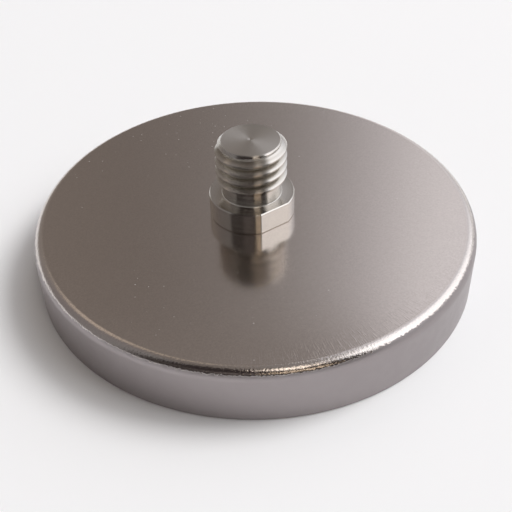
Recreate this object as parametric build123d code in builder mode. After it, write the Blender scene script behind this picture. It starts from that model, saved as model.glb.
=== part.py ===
from build123d import *
from math import cos, radians, sqrt, tan
import os

# Flat pot magnet with a threaded mounting stud.
#
# A ferrite ring magnet is potted into a shallow cup of drawn steel sheet.  A turned stud stands on the
# closed side of the cup; its shank goes through the cup's floor and is held by a spring washer and a thin
# nut in the magnet's centre hole.
#
# Millimetres.  +Z runs up the stud.  The origin is the centre of the magnetic face, which the cup's rim
# and the ring magnet share and on which the object stands.

# ---------------------------------------------------------------------------------- driving dimensions
inch = 25.4

# Cup
cup_diameter = 100.0
cup_height = 13.2
sheet_thickness = 3.0
outer_corner_radius = 2.5        # drawn corner between the flat top and the wall
rim_chamfer = 0.3                # deburred outer edge of the ground rim
shank_hole_diameter = 9.8

# Ring magnet and the resin around it
magnet_diameter = 86.0
magnet_hole_diameter = 32.0
magnet_chamfer = 0.5             # edges of the ground face
resin_bed = 0.3                  # resin between the magnet and the cup's floor
resin_recess = 0.5               # how far the resin ends above the magnetic face

# Stud, measured up from the cup's flat top
stud_height = 18.7
collar_diameter = 19.2
collar_height = 5.2
across_flats = 17.7
flat_direction = 304.0           # degrees, where the first wrench flat faces, from +X
relief_diameter = 13.3
thread_height = 9.5              # where the thread's lower shoulder reaches full diameter
end_face_diameter = 12.9
edge_break = 0.2

# Mounting thread, 5/8-11
thread_diameter = 5 / 8 * inch
thread_pitch = inch / 11
flank_angle = 30.0               # degrees between each flank and the plane across the axis
groove_start = 6.85              # height of the groove's centre where it starts, over +X, in the relief

# Stud's lower end, 3/8-16, with its washer and nut
shank_diameter = 3 / 8 * inch
shank_end_height = 1.0           # from the magnetic face up to the shank's end
shank_chamfer = 1.0
washer_diameter = 17.2
washer_thickness = 2.4
washer_slot_width = 1.2
washer_slot_slant = 25.0         # degrees off the vertical
nut_across_flats = 9 / 16 * inch
nut_thickness = 7 / 32 * inch
nut_face_angle = 30.0            # bevel of the nut's corners
nut_mouth_chamfer = 0.5

# ---------------------------------------------------------------------------------------------- derived
floor_height = cup_height - sheet_thickness
cup_inner_diameter = cup_diameter - 2 * sheet_thickness
magnet_thickness = floor_height - resin_bed

collar_top = cup_height + collar_height
stud_end = cup_height + stud_height
thread_radius = thread_diameter / 2
sharp_height = thread_pitch * sqrt(3) / 2
thread_depth = 5 / 8 * sharp_height
root_radius = thread_radius - thread_depth
end_chamfer = thread_radius - end_face_diameter / 2
shoulder_rise = (thread_diameter - relief_diameter) / 2 * tan(radians(flank_angle))
shoulder_top = cup_height + thread_height

washer_bottom = floor_height - washer_thickness
nut_bottom = washer_bottom - nut_thickness

# -------------------------------------------------------------------------------------------- steel cup
# The outer form with its drawn corner, hollowed from the open side to one sheet thickness.
with BuildPart() as steel_cup:
    with BuildSketch():
        Circle(cup_diameter / 2)
    extrude(amount=cup_height)
    fillet(steel_cup.edges().sort_by(Axis.Z)[-1], outer_corner_radius)
    with BuildSketch():
        Circle(cup_inner_diameter / 2)
    extrude(amount=floor_height, mode=Mode.SUBTRACT)
    with BuildSketch(Plane.XY.offset(floor_height)):
        Circle(shank_hole_diameter / 2)
    extrude(amount=sheet_thickness, mode=Mode.SUBTRACT)
    rim = steel_cup.faces().sort_by(Axis.Z)[0]
    chamfer(rim.outer_wire().edges(), rim_chamfer)

steel_cup.part.label = "steel_cup"

# ------------------------------------------------------------------------------------------ ring magnet
with BuildPart() as ring_magnet:
    with BuildSketch():
        Circle(magnet_diameter / 2)
        Circle(magnet_hole_diameter / 2, mode=Mode.SUBTRACT)
    extrude(amount=magnet_thickness)
    chamfer(ring_magnet.edges().group_by(Axis.Z)[0], magnet_chamfer)

ring_magnet.part.label = "ring_magnet"

# ---------------------------------------------------------------------------------------- potting resin
# Fills the cup around and above the magnet.
with BuildPart() as potting_resin:
    with BuildSketch(Plane.XY.offset(resin_recess)):
        Circle(cup_inner_diameter / 2)
        Circle(magnet_hole_diameter / 2, mode=Mode.SUBTRACT)
    extrude(amount=floor_height - resin_recess)
    add(ring_magnet.part, mode=Mode.SUBTRACT)

potting_resin.part.label = "potting_resin"

# ---------------------------------------------------------------------------------------- thread groove
# Cutting form of the mounting thread: a flat-bottomed V carried along a helix that starts in the relief
# and runs out over the stud's end.  Past the crest it widens a little more, clear of the next turn.
crest_overcut = 0.2
groove_half_root = thread_pitch / 8
groove_half_mouth = groove_half_root + (thread_depth + crest_overcut) * tan(radians(flank_angle))
groove_centre = cup_height + groove_start
groove_rise = stud_end + thread_pitch / 2 - groove_centre

with BuildPart() as thread_groove:
    with BuildLine():
        Helix(thread_pitch, groove_rise, root_radius, center=(0, 0, groove_centre))
    with BuildSketch(Plane.XZ):
        with BuildLine():
            Polyline(
                (root_radius, groove_centre - groove_half_root),
                (thread_radius + crest_overcut, groove_centre - groove_half_mouth),
                (thread_radius + crest_overcut, groove_centre + groove_half_mouth),
                (root_radius, groove_centre + groove_half_root),
                close=True,
            )
        make_face()
    sweep(is_frenet=True)

# -------------------------------------------------------------------------------------------------- stud
with BuildPart() as threaded_stud:
    # Turned form, from the shank's end up to the faced end of the thread.  Its seam lies over +Y, clear of
    # the groove's start over +X.
    with BuildSketch(Plane.YZ):
        with BuildLine():
            Polyline(
                (0, shank_end_height),
                (shank_diameter / 2 - shank_chamfer, shank_end_height),
                (shank_diameter / 2, shank_end_height + shank_chamfer),
                (shank_diameter / 2, cup_height),
                (collar_diameter / 2, cup_height),
                (collar_diameter / 2, collar_top),
                (relief_diameter / 2, collar_top),
                (relief_diameter / 2, shoulder_top - shoulder_rise),
                (thread_radius, shoulder_top),
                (thread_radius, stud_end - end_chamfer),
                (end_face_diameter / 2, stud_end),
                (0, stud_end),
                close=True,
            )
        make_face()
    revolve(axis=Axis.Z)

    # Two wrench flats over the collar's whole height.
    with BuildSketch(Plane.XY.offset(cup_height)):
        with PolarLocations((across_flats + collar_diameter) / 2, 2, start_angle=flat_direction):
            Rectangle(collar_diameter, collar_diameter)
    extrude(amount=collar_height, mode=Mode.SUBTRACT)

    # Broken edges of the collar.
    flat_rings = threaded_stud.faces().filter_by(Axis.Z)
    collar_rings = flat_rings.filter_by_position(Axis.Z, cup_height, collar_top)
    chamfer([ring.outer_wire().edges() for ring in collar_rings], edge_break)

    add(thread_groove.part, mode=Mode.SUBTRACT)

threaded_stud.part.label = "threaded_stud"

# ---------------------------------------------------------------------------------------- spring washer
# A flattened turn of square wire, split by a slanted slot.
slot_lean = washer_thickness / 2 * tan(radians(washer_slot_slant))
slot_half_width = washer_slot_width / 2

with BuildPart() as spring_washer:
    with BuildSketch(Plane.XY.offset(washer_bottom)):
        Circle(washer_diameter / 2)
        Circle(shank_hole_diameter / 2, mode=Mode.SUBTRACT)
    extrude(amount=washer_thickness)
    with BuildSketch(Plane.XZ):
        with BuildLine():
            Polyline(
                (-slot_half_width - slot_lean, washer_bottom),
                (slot_half_width - slot_lean, washer_bottom),
                (slot_half_width + slot_lean, floor_height),
                (-slot_half_width + slot_lean, floor_height),
                close=True,
            )
        make_face()
    extrude(amount=washer_diameter, mode=Mode.SUBTRACT)

spring_washer.part.label = "spring_washer"

# ----------------------------------------------------------------------------------------------- hex nut
nut_face_radius = nut_across_flats / 2
nut_corner_radius = nut_face_radius / cos(radians(30))
nut_bevel = (nut_corner_radius - nut_face_radius) * tan(radians(nut_face_angle))

with BuildPart() as hex_nut:
    with BuildSketch(Plane.XY.offset(nut_bottom)):
        RegularPolygon(nut_face_radius, 6, major_radius=False)
    extrude(amount=nut_thickness)

    # Bevelled corners: the prism keeps only what lies inside a turned blank.
    with BuildSketch(Plane.XZ):
        with BuildLine():
            Polyline(
                (0, nut_bottom),
                (nut_face_radius, nut_bottom),
                (nut_corner_radius, nut_bottom + nut_bevel),
                (nut_corner_radius, washer_bottom - nut_bevel),
                (nut_face_radius, washer_bottom),
                (0, washer_bottom),
                close=True,
            )
        make_face()
    revolve(axis=Axis.Z, mode=Mode.INTERSECT)

    # The bore meets the shank at the thread's outer diameter.
    with BuildSketch(Plane.XY.offset(nut_bottom)):
        Circle(shank_diameter / 2)
    extrude(amount=nut_thickness, mode=Mode.SUBTRACT)
    lower_edges = hex_nut.edges().filter_by_position(Axis.Z, nut_bottom, nut_bottom)
    chamfer(lower_edges.sort_by(SortBy.RADIUS)[0], nut_mouth_chamfer)

hex_nut.part.label = "hex_nut"

os.makedirs("parts", exist_ok=True)
export_step(steel_cup.part, "parts/steel_cup.step")
export_step(ring_magnet.part, "parts/ring_magnet.step")
export_step(potting_resin.part, "parts/potting_resin.step")
export_step(threaded_stud.part, "parts/threaded_stud.step")
export_step(spring_washer.part, "parts/spring_washer.step")
export_step(hex_nut.part, "parts/hex_nut.step")
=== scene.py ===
"""Flat pot magnet: the nickel-plated cup, its stud and what fills it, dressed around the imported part."""

import math

import bmesh
import bpy
from mathutils import Matrix, Vector, noise


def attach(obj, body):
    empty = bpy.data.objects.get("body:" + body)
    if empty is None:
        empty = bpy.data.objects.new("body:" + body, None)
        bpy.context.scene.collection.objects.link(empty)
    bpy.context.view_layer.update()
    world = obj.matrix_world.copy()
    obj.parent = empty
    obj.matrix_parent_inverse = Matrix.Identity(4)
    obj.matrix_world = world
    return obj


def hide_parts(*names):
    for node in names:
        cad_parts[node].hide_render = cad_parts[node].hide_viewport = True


MM = 0.001
TAU = 2 * math.pi
TINY = 1e-6

# ------------------------------------------------------------------------------------- sizes, millimetres
CUP_RADIUS = 50.0
CUP_HEIGHT = 13.2
CUP_CORNER = 2.5
CUP_INSIDE_RADIUS = 47.0
CUP_FLOOR = 10.2
CUP_RIM_CHAMFER = 0.3
CUP_HOLE_RADIUS = 4.9

MAGNET_RADIUS = 43.0
MAGNET_HOLE_RADIUS = 16.0
MAGNET_TOP = 9.9
MAGNET_CHAMFER = 0.5
RESIN_FACE = 0.5
RESIN_SAG = 0.22

COLLAR_RADIUS = 9.6
COLLAR_TOP = 18.4
COLLAR_BREAK = 0.2
FLAT_DISTANCE = 8.85
FLAT_DIRECTION = math.radians(304)
RELIEF_RADIUS = 6.65
RELIEF_FILLET = 0.25
THREAD_RADIUS = 7.9375
THREAD_PITCH = 25.4 / 11
THREAD_SHOULDER = 22.7
GROOVE_START = 20.05
STUD_END = 31.9
END_FACE_RADIUS = 6.45
END_DIMPLE = 0.12
FLANK = math.tan(math.radians(30))

SHANK_RADIUS = 4.7625
SHANK_PITCH = 25.4 / 16
SHANK_END = 1.0
SHANK_CHAMFER = 1.0
SHANK_THREAD_TOP = 3.6

WASHER_RADIUS = 8.6
WASHER_BOTTOM = 7.8
WASHER_EDGE = 0.15
WASHER_SLOT = 0.6
WASHER_SLOT_SIDE = math.radians(270)
WASHER_LEAN = 0.56
NUT_FACE_RADIUS = 25.4 * 9 / 32
NUT_BOTTOM = WASHER_BOTTOM - 25.4 * 7 / 32
NUT_MOUTH = 0.5
NUT_FACE_BREAK = 0.05
NUT_BEVEL_BREAK = 0.03


# ------------------------------------------------------------------------------------------- mesh making
def new_piece(name, vertices, faces, sharp_angle):
    """A mesh object from points in millimetres, smooth but for edges sharper than sharp_angle degrees."""
    mesh = bpy.data.meshes.new(name)
    mesh.from_pydata([(x * MM, y * MM, z * MM) for x, y, z in vertices], [], faces)
    work = bmesh.new()
    work.from_mesh(mesh)
    bmesh.ops.recalc_face_normals(work, faces=work.faces)
    work.to_mesh(mesh)
    work.free()
    mesh.shade_smooth()
    mesh.set_sharp_from_angle(angle=math.radians(sharp_angle))
    piece = bpy.data.objects.new(name, mesh)
    bpy.context.scene.collection.objects.link(piece)
    return piece


def column_faces(columns, rows, loop, marks=None):
    """Faces between neighbouring columns of points, all round. marks says which points lie on a sharp
    line."""
    faces = []
    last = rows if loop else rows - 1
    for i in range(columns):
        here, there = i * rows, (i + 1) % columns * rows
        for j in range(last):
            up = (j + 1) % rows
            a, b, c, d = here + j, there + j, there + up, here + up
            if marks is None or not (marks[a] or marks[b] or marks[c] or marks[d]):
                faces.append((a, b, c, d))
            elif marks[b] and marks[d]:
                faces += [(a, b, d), (b, c, d)]
            else:
                faces += [(a, b, c), (a, c, d)]
    return faces


def turned(name, angles, profile_at, sharp_angle, loop=False):
    """A turned form whose profile may change with the angle. profile_at gives (radius, height, mark) points,
    and the mark may be left out. A loop profile closes on itself; another one starts and ends with one point
    on the axis."""
    profiles = [profile_at(a) for a in angles]
    ends = None if loop else (profiles[0][0], profiles[0][-1])
    if not loop:
        profiles = [p[1:-1] for p in profiles]
    rows = len(profiles[0])
    vertices, marks = [], []
    for angle, profile in zip(angles, profiles):
        for point in profile:
            radius, height = point[0], point[1]
            vertices.append((radius * math.cos(angle), radius * math.sin(angle), height))
            marks.append(len(point) > 2 and point[2])
    faces = column_faces(len(angles), rows, loop, marks if any(marks) else None)
    if ends:
        for end, row in ((ends[0], 0), (ends[1], rows - 1)):
            pole = len(vertices)
            vertices.append((0, 0, end[1]))
            for i in range(len(angles)):
                faces.append((pole, i * rows + row, (i + 1) % len(angles) * rows + row))
    return new_piece(name, vertices, faces, sharp_angle)


def even_angles(count, extra=()):
    """Evenly spaced angles, with the nearest one moved onto each extra angle."""
    angles = [TAU * i / count for i in range(count)]
    for angle in extra:
        angles[round(angle % TAU / TAU * count) % count] = angle % TAU
    return sorted(angles)


def arc(centre_r, centre_z, radius, start, stop, steps):
    """Points on a profile's arc; angles in degrees from the outward direction up."""
    points = []
    for i in range(steps + 1):
        a = math.radians(start + (stop - start) * i / steps)
        points.append((centre_r + radius * math.cos(a), centre_z + radius * math.sin(a)))
    return points


# -------------------------------------------------------------------------------------------------- cup
CUP_COLUMNS = 1000
CORNER_STEPS = 20
TOP_RINGS = (CUP_HOLE_RADIUS, 10, 20, 30, 38, 43, 46, CUP_RADIUS - CUP_CORNER - 0.05)
WALL_RINGS = (10.45, 9, 7, 5, 3, 1.2, 0.35, CUP_RIM_CHAMFER)

PEEL_LENGTH = 2.2
PEEL_HEIGHT = 0.006
FINE_PEEL = 2.3                  # how much shorter the second wave is, and its share of the height
FINE_PEEL_SHARE = 0.45
FINE_PEEL_SHIFT = Vector((7, 3, 1))
PEEL_FADE = 4                    # how fast the peel sets in between the top and the wall
PEEL_INWARD = 0.98               # from here on, next to the top and the wall, it only goes inwards


def peel(x, y, z):
    """Orange peel of the plated corner, in millimetres along the normal."""
    at = Vector((x, y, z)) / PEEL_LENGTH
    return PEEL_HEIGHT * (noise.noise(at) + FINE_PEEL_SHARE * noise.noise(at * FINE_PEEL + FINE_PEEL_SHIFT))


def cup_profile():
    """The cup's section, from its hole out over the corner, down the wall and back inside."""
    top = [(r, CUP_HEIGHT) for r in TOP_RINGS]
    corner = arc(CUP_RADIUS - CUP_CORNER, CUP_HEIGHT - CUP_CORNER, CUP_CORNER, 90, 0, CORNER_STEPS)
    wall = [(CUP_RADIUS, z) for z in WALL_RINGS]
    rim = [(CUP_RADIUS - CUP_RIM_CHAMFER, 0), (CUP_INSIDE_RADIUS, 0)]
    inside = [(CUP_INSIDE_RADIUS, CUP_FLOOR), (CUP_HOLE_RADIUS, CUP_FLOOR)]
    return top + corner + wall + rim + inside


def make_cup():
    profile = cup_profile()
    corner_r, corner_z = CUP_RADIUS - CUP_CORNER, CUP_HEIGHT - CUP_CORNER

    def peeled(r, z, angle):
        """The profile's point, moved along the normal where it lies on the corner."""
        out, up = (r - corner_r) / CUP_CORNER, (z - corner_z) / CUP_CORNER
        if min(out, up) <= TINY:
            return r, z
        height = min(1, PEEL_FADE * out * up) * peel(r * math.cos(angle), r * math.sin(angle), z)
        if max(out, up) > PEEL_INWARD:
            height = min(height, 0)
        return r + out * height, z + up * height

    return turned("cup_shell", even_angles(CUP_COLUMNS),
                  lambda angle: [peeled(r, z, angle) for r, z in profile], sharp_angle=40, loop=True)


# ------------------------------------------------------------------------------------------------- stud
STUD_COLUMNS = 400
THREAD_STEP = 0.075
THREAD_MARGIN = 0.1              # height of plain relief that is meshed with the thread
TIP_STEP = 0.1
FILLET_STEPS = 5
SHANK_RINGS = (0, 1.2, 2.4)
END_RINGS = (END_FACE_RADIUS - 0.1, 5, 3.4, 1.8, 0.8, 0.3)
MOST_TURNS = 9                   # more than either thread has


class Thread:
    """A turned outline, given by its (height, radius) corners, with a helical groove cut in it."""

    def __init__(self, outline, radius, pitch, start, last=math.inf):
        self.outline = outline
        self.pitch, self.start, self.last = pitch, start, last
        sharp_height = pitch * math.sqrt(3) / 2
        self.root = radius - 5 / 8 * sharp_height
        self.half_root = pitch / 8

    def turned(self, z):
        for (z0, r0), (z1, r1) in zip(self.outline, self.outline[1:]):
            if z <= z1:
                return r0 + (r1 - r0) * (z - z0) / (z1 - z0)
        return self.outline[-1][1]

    def centres(self, angle):
        """Heights of the groove's centre at this angle, one for each turn."""
        first = self.start + self.pitch * angle / TAU
        heights = [first + self.pitch * k for k in range(MOST_TURNS)]
        return [z for z in heights if z < self.last]

    def groove(self, z, centres):
        off = min(abs(z - c) for c in centres)
        return self.root + max(0, off - self.half_root) / FLANK

    def corners(self, centres):
        """Heights at which the section at this angle has a corner."""
        found = [z for z, r in self.outline if r <= self.groove(z, centres)]
        for c in centres:
            found += [z for z in (c - self.half_root, c + self.half_root) if self.turned(z) >= self.root]
            for side in (-1, 1):
                for (z0, r0), (z1, r1) in zip(self.outline, self.outline[1:]):
                    slope = (r1 - r0) / (z1 - z0)
                    # turned: r0 + slope (z - z0); flank: root + (side (z - c) - half_root) / FLANK
                    below = slope - side / FLANK
                    if abs(below) < TINY:
                        continue
                    z = (self.root - (side * c + self.half_root) / FLANK - r0 + slope * z0) / below
                    if z0 <= z <= z1 and abs(self.groove(z, centres) - self.turned(z)) < TINY:
                        found.append(z)
        return sorted(found)

    def rows(self, angle, low, high, step):
        """(radius, height, mark) points from low to high, with the nearest ones moved onto the corners."""
        centres = self.centres(angle)
        count = round((high - low) / step)
        heights = [low + (high - low) * j / count for j in range(count + 1)]
        marks = [False] * (count + 1)
        for z in self.corners(centres):
            j = round((z - low) / (high - low) * count)
            if 0 <= j <= count:
                heights[j], marks[j] = z, True
        heights[0], heights[-1] = low, high
        return [(min(self.turned(z), self.groove(z, centres)), z, m) for z, m in zip(heights, marks)]


def collar_outline(angle, inset):
    """The collar's radius at an angle: round, with two wrench flats."""
    lean = abs(math.cos(angle - FLAT_DIRECTION))
    return min(COLLAR_RADIUS - inset, (FLAT_DISTANCE - inset) / max(lean, TINY))


def flat_ends():
    """Angles at which the wrench flats end, on the collar's side and on its broken edges."""
    turns = [math.acos((FLAT_DISTANCE - inset) / (COLLAR_RADIUS - inset)) for inset in (0, COLLAR_BREAK)]
    middles = (FLAT_DIRECTION, FLAT_DIRECTION + math.pi)
    return [middle + side * turn for middle in middles for side in (-1, 1) for turn in turns]


def make_stud():
    relief_top = THREAD_SHOULDER - (THREAD_RADIUS - RELIEF_RADIUS) * FLANK
    low = relief_top - THREAD_MARGIN
    mount = Thread(
        [(low, RELIEF_RADIUS), (relief_top, RELIEF_RADIUS), (THREAD_SHOULDER, THREAD_RADIUS),
         (STUD_END - (THREAD_RADIUS - END_FACE_RADIUS), THREAD_RADIUS), (STUD_END, END_FACE_RADIUS)],
        THREAD_RADIUS, THREAD_PITCH, GROOVE_START)
    tip_top = SHANK_THREAD_TOP + SHANK_PITCH
    tip = Thread(
        [(SHANK_END, SHANK_RADIUS - SHANK_CHAMFER), (SHANK_END + SHANK_CHAMFER, SHANK_RADIUS),
         (tip_top, SHANK_RADIUS)],
        SHANK_RADIUS, SHANK_PITCH, SHANK_END - SHANK_PITCH, SHANK_THREAD_TOP)

    def profile_at(angle):
        inner, outer = collar_outline(angle, COLLAR_BREAK), collar_outline(angle, 0)
        points = [(r, SHANK_END) for r in SHANK_RINGS]
        points += tip.rows(angle, SHANK_END, tip_top, TIP_STEP)
        points += [(SHANK_RADIUS, CUP_HEIGHT), (inner, CUP_HEIGHT), (outer, CUP_HEIGHT + COLLAR_BREAK),
                   (outer, COLLAR_TOP - COLLAR_BREAK), (inner, COLLAR_TOP)]
        points += arc(RELIEF_RADIUS + RELIEF_FILLET, COLLAR_TOP + RELIEF_FILLET, RELIEF_FILLET, 270, 180,
                      FILLET_STEPS)
        points += mount.rows(angle, low, STUD_END, THREAD_STEP)
        points += [(r, STUD_END) for r in END_RINGS]
        return points + [(0, STUD_END - END_DIMPLE)]

    return turned("turned_stud", even_angles(STUD_COLUMNS, flat_ends()), profile_at, sharp_angle=24)


# ----------------------------------------------------------------------------- magnet, resin, washer, nut
MAGNET_COLUMNS = 360
MAGNET_RINGS = (24, 34)
CHIP_DEPTH = 0.55
CHIP_LEVEL = 0.32                # the noise has to pass this to break the edge
CHIP_SPREAD = 9
OUTER_CHIPS, INNER_CHIPS = 1, 5  # where in the noise each edge looks

RESIN_COLUMNS = 256
RESIN_STEPS = 12
WASHER_STEPS = 160
NUT_COLUMNS = 240


def chip(angle, seed):
    """How much deeper the magnet's ground edge is broken at this angle."""
    at = Vector((math.cos(angle) * CHIP_SPREAD, math.sin(angle) * CHIP_SPREAD, seed))
    return CHIP_DEPTH * max(0, noise.noise(at) - CHIP_LEVEL)


def make_magnet():
    def profile_at(angle):
        outer = MAGNET_RADIUS - MAGNET_CHAMFER - chip(angle, OUTER_CHIPS)
        inner = MAGNET_HOLE_RADIUS + MAGNET_CHAMFER + chip(angle, INNER_CHIPS)
        face = [(r, 0) for r in (inner, *MAGNET_RINGS, outer)]
        return face + [(MAGNET_RADIUS, MAGNET_CHAMFER), (MAGNET_RADIUS, MAGNET_TOP),
                       (MAGNET_HOLE_RADIUS, MAGNET_TOP), (MAGNET_HOLE_RADIUS, MAGNET_CHAMFER)]

    return turned("magnet_ring", even_angles(MAGNET_COLUMNS), profile_at, sharp_angle=30, loop=True)


def make_resin():
    face = []
    for i in range(RESIN_STEPS + 1):
        share = i / RESIN_STEPS
        sag = RESIN_SAG * (1 - (2 * share - 1) ** 4)
        face.append((MAGNET_RADIUS + (CUP_INSIDE_RADIUS - MAGNET_RADIUS) * share, RESIN_FACE + sag))
    body = [(CUP_INSIDE_RADIUS, CUP_FLOOR), (MAGNET_HOLE_RADIUS, CUP_FLOOR),
            (MAGNET_HOLE_RADIUS, MAGNET_TOP), (MAGNET_RADIUS, MAGNET_TOP)]
    return turned("resin_fill", even_angles(RESIN_COLUMNS), lambda angle: face + body, sharp_angle=30,
                  loop=True)


def make_washer():
    """A split ring: each ring of points runs from one side of the slanted slot round to the other."""
    low, high, inner, outer, edge = WASHER_BOTTOM, CUP_FLOOR, CUP_HOLE_RADIUS, WASHER_RADIUS, WASHER_EDGE
    section = [(inner + edge, low), (outer - edge, low), (outer, low + edge), (outer, high - edge),
               (outer - edge, high), (inner + edge, high), (inner, high - edge), (inner, low + edge)]
    rows, middle = len(section), (low + high) / 2
    vertices = []
    for i in range(WASHER_STEPS + 1):
        for r, z in section:
            shift = WASHER_LEAN * (z - middle) / (high - middle)
            start = WASHER_SLOT_SIDE + math.asin((shift + WASHER_SLOT) / r)
            stop = WASHER_SLOT_SIDE + TAU + math.asin((shift - WASHER_SLOT) / r)
            a = start + (stop - start) * i / WASHER_STEPS
            vertices.append((r * math.cos(a), r * math.sin(a), z))
    faces = [tuple(range(rows)), tuple(WASHER_STEPS * rows + j for j in range(rows))]
    for i in range(WASHER_STEPS):
        for j in range(rows):
            a, b = i * rows + j, i * rows + (j + 1) % rows
            faces.append((a, b, b + rows, a + rows))
    return new_piece("split_washer", vertices, faces, sharp_angle=30)


def make_nut():
    side = TAU / 6

    def profile_at(angle):
        across = NUT_FACE_RADIUS / math.cos((angle + side / 2) % side - side / 2)
        bevel = (across - NUT_FACE_RADIUS) * FLANK + NUT_BEVEL_BREAK
        return [(SHANK_RADIUS + NUT_MOUTH, NUT_BOTTOM), (NUT_FACE_RADIUS - NUT_FACE_BREAK, NUT_BOTTOM),
                (across, NUT_BOTTOM + bevel), (across, WASHER_BOTTOM - bevel),
                (NUT_FACE_RADIUS - NUT_FACE_BREAK, WASHER_BOTTOM), (SHANK_RADIUS, WASHER_BOTTOM),
                (SHANK_RADIUS, NUT_BOTTOM + NUT_MOUTH)]

    return turned("thin_nut", even_angles(NUT_COLUMNS), profile_at, sharp_angle=20, loop=True)


# -------------------------------------------------------------------------------------- material making
NOISE_RANGE = (0.3, 0.7)         # where most of a noise's values lie
NOISE_MIDDLE = 0.5


class Tree:
    """Short calls that add nodes to one material or world."""

    def __init__(self, owner):
        owner.use_nodes = True
        self.nodes, self.links = owner.node_tree.nodes, owner.node_tree.links
        self.nodes.clear()

    def add(self, kind, inputs=None, **settings):
        node = self.nodes.new(kind)
        for key, value in settings.items():
            setattr(node, key, value)
        for key, value in (inputs or {}).items():
            if isinstance(value, bpy.types.NodeSocket):
                self.links.new(value, node.inputs[key])
            else:
                node.inputs[key].default_value = value
        return node

    def math(self, operation, a, b=0.0):
        return self.add("ShaderNodeMath", {0: a, 1: b}, operation=operation).outputs[0]

    def plus(self, a, b):
        return self.math("ADD", a, b)

    def less(self, a, b):
        return self.math("SUBTRACT", a, b)

    def times(self, first, *others):
        for other in others:
            first = self.math("MULTIPLY", first, other)
        return first

    def step(self, value, limits, start=0.0, stop=1.0):
        """Smoothly from start to stop while value goes from the first limit to the second."""
        inputs = {"Value": value, "From Min": limits[0], "From Max": limits[1],
                  "To Min": start, "To Max": stop}
        return self.add("ShaderNodeMapRange", inputs, interpolation_type="SMOOTHSTEP").outputs["Result"]

    def place_step(self, value, limits, start=0.0, stop=1.0):
        """The same for a distance, with the limits in millimetres."""
        return self.step(value, (limits[0] * MM, limits[1] * MM), start, stop)

    def mix(self, share, a, b):
        """A colour between a and b."""
        return self.add("ShaderNodeMix", {0: share, 6: a, 7: b}, data_type="RGBA").outputs[2]

    def noise(self, vector, scale, detail=2.0, roughness=0.5):
        inputs = {"Vector": vector, "Scale": scale, "Detail": detail, "Roughness": roughness}
        return self.add("ShaderNodeTexNoise", inputs).outputs["Fac"]

    def streaks(self, vector, scales):
        """A noise with its own scale along each axis."""
        stretched = self.add("ShaderNodeVectorMath", {0: vector, 1: scales}, operation="MULTIPLY").outputs[0]
        return self.noise(stretched, scale=1.0, detail=3)

    def cells(self, vector, scale, **settings):
        return self.add("ShaderNodeTexVoronoi", {"Vector": vector, "Scale": scale}, **settings).outputs

    def parts(self, vector):
        return self.add("ShaderNodeSeparateXYZ", {0: vector}).outputs

    def joined(self, x, y, z=0.0):
        return self.add("ShaderNodeCombineXYZ", {0: x, 1: y, 2: z}).outputs[0]

    def bump(self, height, distance):
        """A relief whose height of 1 stands for distance, in millimetres."""
        return self.add("ShaderNodeBump", {"Height": height, "Distance": distance * MM}).outputs["Normal"]


def new_material(name):
    material = bpy.data.materials.new(name)
    return material, Tree(material)


def own_coordinates(tree):
    """The piece's own coordinates in metres."""
    return tree.add("ShaderNodeTexCoord").outputs["Object"]


def round_coordinates(tree, vector):
    """From the piece's own coordinates: x, the height, and the distance from the axis."""
    x, y, z = tree.parts(vector)
    radius = tree.add("ShaderNodeVectorMath", {0: tree.joined(x, y)}, operation="LENGTH").outputs["Value"]
    return x, z, radius


def shade(tree, **inputs):
    """A Principled surface; an underscore in a name stands for a space."""
    names = {key.replace("_", " "): value for key, value in inputs.items()}
    surface = tree.add("ShaderNodeBsdfPrincipled", names)
    tree.add("ShaderNodeOutputMaterial", {"Surface": surface.outputs[0]})


# --------------------------------------------------------------------------------------- nickel material
# Lengths in millimetres, scales in waves to the metre.
NICKEL = (0.67, 0.618, 0.584, 1)
NICKEL_DULL = (0.63, 0.582, 0.55, 1)
# Painted shade: the satin wall's nickel is darker than the top's; only the satin finish itself is real.
NICKEL_WALL_PAINTED_SHADE = (0.37, 0.336, 0.338, 1)
DUST = (0.78, 0.76, 0.74, 1)

SATIN_BORDER = (12.16, 11.98)    # heights between which the satin wall sets in
SATIN_RAGGED = 0.9               # how far that border wanders up and down
SATIN_RISE = 0.45                # how much higher it lies on the right, and where it rises
SATIN_RISE_PLACES = (8, 27)
CORNER_BORDER = (47.3, 48.1)     # radii between which the corner sets in

POLISHED = (0.14, 0.16)          # roughness, from least to most
CORNER_GLOSS = 0.05
SATIN = (0.36, 0.42)

MOTTLE_SCALE = 420
SPECKLE_SCALE = 2600
RAGGED_SCALE = 2200
GRAIN_SCALES = (3600, 700, 700)
BRUSHED_SCALES = (2400, 2400, 160)
CRINKLE_SCALE = 2300
HAIRLINE_TURNS = 230             # round the axis, and along the radius
HAIRLINE_SCALE = 260
HAIRLINE_LEVELS = (0.50, 0.70)
HAIRLINE_RADII = (41, 47)

NICKEL_RELIEF = 0.0025
GRAIN_RELIEF = 0.3
HAIRLINE_RELIEF = 1.6
BRUSHED_RELIEF = 2.0
CRINKLE_RELIEF = 18.0

DUST_SCALE = 330
DUST_PLACES = (15, -12)          # from right to left, with the share of the cells that stay clean
DUST_CLEAN = (0.95, 0.62)
DUST_SIZES = (0.018, 0.05)
DUST_CLOUD_SCALE = 34
DUST_CLOUDS = (0.36, 0.56)
DUST_COVER = 0.4
DUST_HEIGHT = CUP_HEIGHT - 0.02


def nickel_zones(tree, vector, x, z, radius):
    """Masks of the satin wall, which has a ragged upper border, and of the crinkled corner."""
    ragged = tree.times(tree.less(tree.noise(vector, RAGGED_SCALE), NOISE_MIDDLE), SATIN_RAGGED * MM)
    rise = tree.place_step(x, SATIN_RISE_PLACES, 0.0, -SATIN_RISE * MM)
    wall = tree.place_step(tree.plus(z, tree.plus(ragged, rise)), SATIN_BORDER)
    return wall, tree.place_step(radius, CORNER_BORDER)


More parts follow.
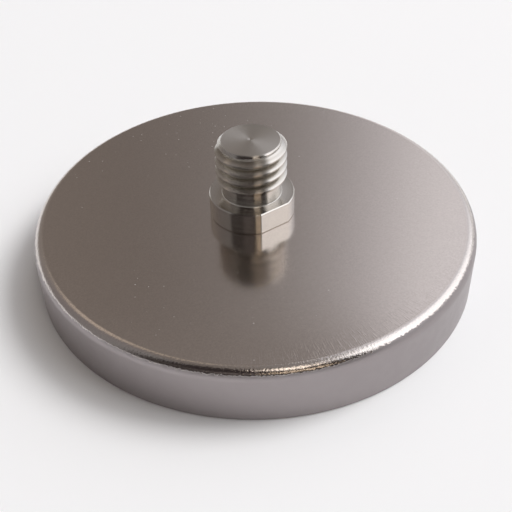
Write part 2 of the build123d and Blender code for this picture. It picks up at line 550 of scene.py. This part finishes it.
def nickel_dust(tree, vector, x, z):
    """Specks on the flat top: more on the left, and only where a slow cloud lets them lie."""
    cells = tree.cells(vector, DUST_SCALE, voronoi_dimensions="2D")
    lot, size_lot, _ = tree.parts(cells["Color"])
    chosen = tree.math("GREATER_THAN", lot, tree.place_step(x, DUST_PLACES, *DUST_CLEAN))
    near = tree.math("LESS_THAN", cells["Distance"], tree.step(size_lot, (0.0, 1.0), *DUST_SIZES))
    cloud = tree.step(tree.noise(vector, DUST_CLOUD_SCALE), DUST_CLOUDS, 0.0, DUST_COVER)
    on_top = tree.math("GREATER_THAN", z, DUST_HEIGHT * MM)
    return tree.times(chosen, near, cloud, on_top)


def nickel_relief(tree, vector, radius, wall, corner):
    """Grain and drawn hairlines on the top, upright brushing on the wall, crinkles on the corner."""
    grain = tree.streaks(vector, GRAIN_SCALES)
    across = tree.add("ShaderNodeVectorMath", {0: vector}, operation="NORMALIZE").outputs[0]
    turn_x, turn_y, _ = tree.parts(across)
    drawn = tree.joined(tree.times(turn_x, HAIRLINE_TURNS), tree.times(turn_y, HAIRLINE_TURNS),
                        tree.times(radius, HAIRLINE_SCALE))
    hairlines = tree.times(tree.step(tree.noise(drawn, scale=1.0, detail=1), HAIRLINE_LEVELS),
                           tree.place_step(radius, HAIRLINE_RADII))
    top = tree.plus(tree.times(grain, GRAIN_RELIEF), tree.times(hairlines, HAIRLINE_RELIEF))
    top = tree.times(top, tree.less(1.0, corner))
    side = tree.times(wall, tree.streaks(vector, BRUSHED_SCALES), BRUSHED_RELIEF)
    crinkle = tree.noise(vector, CRINKLE_SCALE, detail=3, roughness=0.6)
    crinkled = tree.times(corner, tree.less(1.0, wall), crinkle, CRINKLE_RELIEF)
    return tree.plus(tree.plus(top, side), crinkled)


def nickel_material():
    """Nickel plate: a polished top with fine grain and dust, a crinkled corner, a satin wall whose colour is
    darkened as painted shade.
    """
    material, tree = new_material("nickel_plate")
    vector = own_coordinates(tree)
    x, z, radius = round_coordinates(tree, vector)
    wall, corner = nickel_zones(tree, vector, x, z, radius)
    dust = nickel_dust(tree, vector, x, z)

    mottle = tree.noise(vector, MOTTLE_SCALE, detail=3)
    polished = tree.less(tree.step(mottle, NOISE_RANGE, *POLISHED), tree.times(corner, CORNER_GLOSS))
    satin = tree.step(mottle, NOISE_RANGE, *SATIN)
    finish = tree.plus(polished, tree.times(wall, tree.less(satin, polished)))

    speckle = tree.step(tree.noise(vector, SPECKLE_SCALE), NOISE_RANGE)
    # on the wall the colour turns to the darker nickel: painted shade
    colour = tree.mix(wall, tree.mix(speckle, NICKEL_DULL, NICKEL), NICKEL_WALL_PAINTED_SHADE)
    colour = tree.mix(dust, colour, DUST)
    normal = tree.bump(nickel_relief(tree, vector, radius, wall, corner), NICKEL_RELIEF)
    shade(tree, Base_Color=colour, Metallic=tree.less(1.0, dust), Roughness=finish, Normal=normal)
    return material


# ---------------------------------------------------------------------------------------- other materials
STAINLESS = (0.58, 0.553, 0.515, 1)
# painted shade in the thread grooves, darker towards the roots
STAINLESS_GROOVE_SHADE = (0.36, 0.33, 0.285, 1)
STAINLESS_FINISH = (0.175, 0.21)
END_FACE_FINISH = 0.13           # how much rougher the faced end is
END_FACE_BORDER = (STUD_END - 0.2, STUD_END - 0.1)
RING_SCALES = (9000, 1500)
GROOVE_SHADE_LOW_END = (21.2, 22.0)
GROOVE_SHADE_HIGH_END = (31.0, 30.4)
GROOVE_SHADE_RADII = (7.85, 6.9)
STAINLESS_RELIEF = 0.0005

FERRITE_DARK = (0.030, 0.030, 0.032, 1)
FERRITE_LIGHT = (0.062, 0.061, 0.062, 1)
FERRITE_FINISH = (0.38, 0.52)
GRINDING_SCALES = (90, 2600, 90)
GRINDING_RELIEF = 0.7
FERRITE_GRAIN_SCALE = 2600
FERRITE_RELIEF = 0.006

RESIN = (0.018, 0.018, 0.019, 1)
RESIN_FINISH = (0.16, 0.30)
RIPPLE_SCALE = 260
BUBBLE_SCALE = 300
BUBBLE_EDGE = (0.05, 0.12)
RESIN_RELIEF = 0.02

ZINC = (0.62, 0.63, 0.64, 1)
ZINC_DULL = (0.52, 0.54, 0.57, 1)
ZINC_FINISH = (0.24, 0.38)
ZINC_SCALE = 900
ZINC_RELIEF = 0.004


def stainless_material():
    """Turned stainless steel: fine rings round the axis, a rougher faced end, and painted shade that darkens
    the thread grooves.
    """
    material, tree = new_material("turned_stainless")
    _, z, radius = round_coordinates(tree, own_coordinates(tree))
    rings = tree.joined(radius, z)
    fine, coarse = [tree.noise(rings, scale) for scale in RING_SCALES]
    finish = tree.step(coarse, NOISE_RANGE, *STAINLESS_FINISH)
    finish = tree.plus(finish, tree.times(tree.place_step(z, END_FACE_BORDER), END_FACE_FINISH))
    # painted shade: the colour darkens towards the thread's roots along the threaded length
    groove = tree.times(tree.place_step(z, GROOVE_SHADE_LOW_END), tree.place_step(z, GROOVE_SHADE_HIGH_END),
                        tree.place_step(radius, GROOVE_SHADE_RADII))
    tangent = tree.add("ShaderNodeTangent", direction_type="RADIAL", axis="Z").outputs[0]
    shade(tree, Base_Color=tree.mix(groove, STAINLESS, STAINLESS_GROOVE_SHADE), Metallic=1.0, Roughness=finish,
          Anisotropic=0.8, Anisotropic_Rotation=0.25, Tangent=tangent,
          Normal=tree.bump(tree.plus(fine, coarse), STAINLESS_RELIEF))
    return material


def ferrite_material():
    """Ground hard ferrite: charcoal grey, with straight grinding marks."""
    material, tree = new_material("ground_ferrite")
    vector = own_coordinates(tree)
    marks = tree.streaks(vector, GRINDING_SCALES)
    grain = tree.noise(vector, FERRITE_GRAIN_SCALE, detail=4)
    relief = tree.plus(tree.times(marks, GRINDING_RELIEF), grain)
    shade(tree, Base_Color=tree.mix(tree.step(grain, NOISE_RANGE), FERRITE_DARK, FERRITE_LIGHT),
          Roughness=tree.step(marks, NOISE_RANGE, *FERRITE_FINISH), Normal=tree.bump(relief, FERRITE_RELIEF))
    return material


def resin_material():
    """Black potting resin with a soft gloss and a few small bubbles."""
    material, tree = new_material("black_resin")
    vector = own_coordinates(tree)
    ripple = tree.noise(vector, RIPPLE_SCALE)
    bubbles = tree.step(tree.cells(vector, BUBBLE_SCALE)["Distance"], BUBBLE_EDGE)
    shade(tree, Base_Color=RESIN, Roughness=tree.step(ripple, NOISE_RANGE, *RESIN_FINISH),
          Normal=tree.bump(tree.plus(ripple, bubbles), RESIN_RELIEF))
    return material


def zinc_material():
    """Bright zinc plate on the washer and the nut."""
    material, tree = new_material("zinc_plate")
    mottle = tree.noise(own_coordinates(tree), ZINC_SCALE, detail=4)
    shade(tree, Base_Color=tree.mix(tree.step(mottle, NOISE_RANGE), ZINC, ZINC_DULL), Metallic=1.0,
          Roughness=tree.step(mottle, NOISE_RANGE, *ZINC_FINISH), Normal=tree.bump(mottle, ZINC_RELIEF))
    return material


# ------------------------------------------------------------------------------------------------ stage
LENS = 59.7375
SENSOR_WIDTH = 36
CAMERA_PLACE = (0, -0.155, 0.1315)
CAMERA_TURNS = (("X", 52.194), ("Y", 2.452), ("Z", -1.536))
CAMERA_SHIFT = (0.078125, -0.078125)
NEAREST_SEEN = 0.01

# Each lamp's name, azimuth, elevation and power.
LAMPS = (("key_softbox", 20, 48, 136), ("top_softbox", 20, 80, 20))
LAMP_COLOUR = (1.0, 0.99, 0.975)
LAMP_DISTANCE = 5.0
LAMP_SIZE = 2.4
FLOOR_RADIUS = 3.0
FLOOR_POINTS = 128
FLOOR_COLOUR = (0.915, 0.925, 0.94, 1)

# What stands round the object, by azimuth in degrees from +X towards +Y: radiance, red, green and blue.
AROUND = (
    (0, 1.70, 1.70, 1.75), (12, 1.70, 1.70, 1.76), (36, 1.55, 1.56, 1.63), (48, 1.15, 1.16, 1.23),
    (58, 0.85, 0.85, 0.90), (66, 0.86, 0.85, 0.90), (73, 0.95, 0.93, 0.97), (76, 0.84, 0.82, 0.85),
    (80, 0.60, 0.58, 0.60), (84, 0.425, 0.405, 0.41), (88, 0.32, 0.298, 0.292), (94, 0.248, 0.222, 0.21),
    (100, 0.218, 0.189, 0.173), (108, 0.235, 0.203, 0.182), (125, 0.29, 0.258, 0.236),
    (142, 0.29, 0.26, 0.243), (160, 0.25, 0.225, 0.223), (206, 0.25, 0.24, 0.24), (320, 0.25, 0.24, 0.235),
    (328, 0.28, 0.27, 0.265), (333, 1.30, 1.30, 1.32), (337, 1.95, 1.96, 2.02), (350, 1.80, 1.80, 1.85),
)
BRIGHTEST = 2.5                  # radiance that a colour of 1 stands for

# Soft-edged patches over that, later ones on top: azimuth and its half width, lowest and highest elevation,
# softness, radiance.
PATCHES = (
    (28, 72, 68, 120, 6, (0.31, 0.29, 0.28)),     # ceiling over the window
    (72, 14, 63, 80, 6, (0.25, 0.23, 0.22)),
    (190, 92, 66, 120, 7, (0.22, 0.195, 0.18)),   # the rest of the ceiling
    (93, 16, 46, 61, 6, (0.262, 0.232, 0.215)),   # dim part of the wall behind
    (134, 19, 45, 57, 5, (0.62, 0.53, 0.45)),     # lit streaks on the back wall and ceiling
    (130, 17, 57, 66, 5, (0.46, 0.395, 0.335)),
    (112, 14, 64, 73, 6, (0.49, 0.425, 0.37)),
    (268, 58, 19, 78, 6, (0.040, 0.032, 0.032)),  # dark shape in front
    (352, 17, -90, 26, 6, (0.50, 0.49, 0.50)),    # below the window
    (45, 41, -90, 13, 7, (0.60, 0.59, 0.60)),
    (229, 14, 34, 42, 4, (0.10, 0.09, 0.085)),    # less dark parts of the shape in front
    (259, 14, 34, 42, 4, (0.21, 0.185, 0.18)),
    (292, 13, 34, 42, 3, (1.45, 1.20, 0.92)),     # warm lamp in front, its lower and upper part
    (296, 15, 58, 74, 4, (2.45, 2.20, 1.95)),
)
HORIZON = (0.88, 0.88, 0.885)
HORIZON_BORDER = (8.5, 5.5)      # elevations between which the strip along the horizon sets in


def sky_colour(radiance):
    return [c / BRIGHTEST for c in radiance] + [1]


def sky_round(tree, turn):
    """The surroundings by azimuth alone; turn goes from 0 to 1."""
    around = tree.add("ShaderNodeValToRGB", {"Fac": turn})
    stops = around.color_ramp.elements
    for i, (azimuth, *radiance) in enumerate(AROUND):
        stop = stops[0] if i == 0 else stops.new(azimuth / 360)
        stop.position, stop.color = azimuth / 360, sky_colour(radiance)
    stops[-1].position, stops[-1].color = 1.0, sky_colour(AROUND[0][1:])
    return around.outputs[0]


def sky_patch(tree, turn, height, azimuth, half, low, high, soft):
    """Mask of a patch of sky. Its distance in azimuth is wrapped with the middle of the patch at 0.5."""
    off = tree.math("FRACT", tree.less(turn, azimuth / 360 - 1.5))
    off = tree.times(tree.math("ABSOLUTE", tree.less(off, 0.5)), 360)
    edge = soft / 2
    return tree.times(tree.step(off, (half + edge, half - edge)), tree.step(height, (low - edge, low + edge)),
                      tree.step(height, (high + edge, high - edge)))


def make_world():
    """A plain room: a large window on the right, a dim grey-brown rest, a dark shape and a warm lamp in
    front, and a pale strip along the horizon that carries on the floor."""
    world = bpy.data.worlds.new("studio")
    bpy.context.scene.world = world
    tree = Tree(world)
    x, y, z = tree.parts(tree.add("ShaderNodeTexCoord").outputs["Generated"])
    turn = tree.math("DIVIDE", tree.math("ARCTAN2", y, x), TAU)
    turn = tree.math("FRACT", tree.plus(turn, 1.0))
    height = tree.times(tree.math("ARCSINE", z), 360 / TAU)
    sky = sky_round(tree, turn)
    for *place, radiance in PATCHES:
        sky = tree.mix(sky_patch(tree, turn, height, *place), sky, sky_colour(radiance))
    sky = tree.mix(tree.step(height, HORIZON_BORDER), sky, sky_colour(HORIZON))
    lit = tree.add("ShaderNodeBackground", {"Color": sky, "Strength": BRIGHTEST})
    tree.add("ShaderNodeOutputWorld", {"Surface": lit.outputs[0]})


def make_floor():
    turns = [TAU * i / FLOOR_POINTS for i in range(FLOOR_POINTS)]
    vertices = [(FLOOR_RADIUS * math.cos(a), FLOOR_RADIUS * math.sin(a), 0) for a in turns]
    mesh = bpy.data.meshes.new("floor")
    mesh.from_pydata(vertices, [], [tuple(range(FLOOR_POINTS))])
    floor = bpy.data.objects.new("floor", mesh)
    bpy.context.scene.collection.objects.link(floor)
    material, tree = new_material("floor")
    shade(tree, Base_Color=FLOOR_COLOUR, Roughness=0.9, Specular_IOR_Level=0.1)
    mesh.materials.append(material)


def make_lamps():
    """Soft lamps for the floor, on the window's side. They stay out of the metal's reflections."""
    for name, azimuth, elevation, power in LAMPS:
        lamp = bpy.data.lights.new(name, "AREA")
        lamp.shape, lamp.size, lamp.energy = "DISK", LAMP_SIZE, power
        lamp.color = LAMP_COLOUR
        softbox = bpy.data.objects.new(name, lamp)
        azimuth, elevation = math.radians(azimuth), math.radians(elevation)
        away = Vector((math.cos(elevation) * math.cos(azimuth), math.cos(elevation) * math.sin(azimuth),
                       math.sin(elevation)))
        softbox.location = away * LAMP_DISTANCE
        softbox.rotation_euler = away.to_track_quat("Z", "Y").to_euler()
        softbox.visible_glossy = False
        bpy.context.scene.collection.objects.link(softbox)


def make_camera():
    camera = bpy.data.objects.new("camera", bpy.data.cameras.new("camera"))
    camera.data.lens = LENS
    camera.data.sensor_width = SENSOR_WIDTH
    camera.data.clip_start = NEAREST_SEEN
    camera.data.shift_x, camera.data.shift_y = CAMERA_SHIFT
    placed = Matrix.Translation(CAMERA_PLACE)
    for axis, degrees in CAMERA_TURNS:
        placed = placed @ Matrix.Rotation(math.radians(degrees), 4, axis)
    camera.matrix_world = placed
    bpy.context.scene.collection.objects.link(camera)
    bpy.context.scene.camera = camera


def dress(piece, node, material):
    """The piece stands for a CAD node, which it hides, and takes the given material."""
    piece.data.materials.append(material)
    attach(piece, "root")
    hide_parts(node)


# ------------------------------------------------------------------------------------------------- scene
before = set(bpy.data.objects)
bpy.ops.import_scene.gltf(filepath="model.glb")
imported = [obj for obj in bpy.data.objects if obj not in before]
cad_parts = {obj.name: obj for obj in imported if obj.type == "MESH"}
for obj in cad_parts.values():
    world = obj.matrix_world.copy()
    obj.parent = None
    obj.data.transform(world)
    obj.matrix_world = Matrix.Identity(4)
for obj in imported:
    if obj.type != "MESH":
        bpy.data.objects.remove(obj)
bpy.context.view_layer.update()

zinc = zinc_material()
dress(make_cup(), "steel_cup", nickel_material())
dress(make_stud(), "threaded_stud", stainless_material())
dress(make_magnet(), "ring_magnet", ferrite_material())
dress(make_resin(), "potting_resin", resin_material())
dress(make_washer(), "spring_washer", zinc)
dress(make_nut(), "hex_nut", zinc)

make_floor()
make_world()
make_lamps()
make_camera()
bpy.context.scene.view_settings.view_transform = "Standard"

bpy.context.view_layer.update()
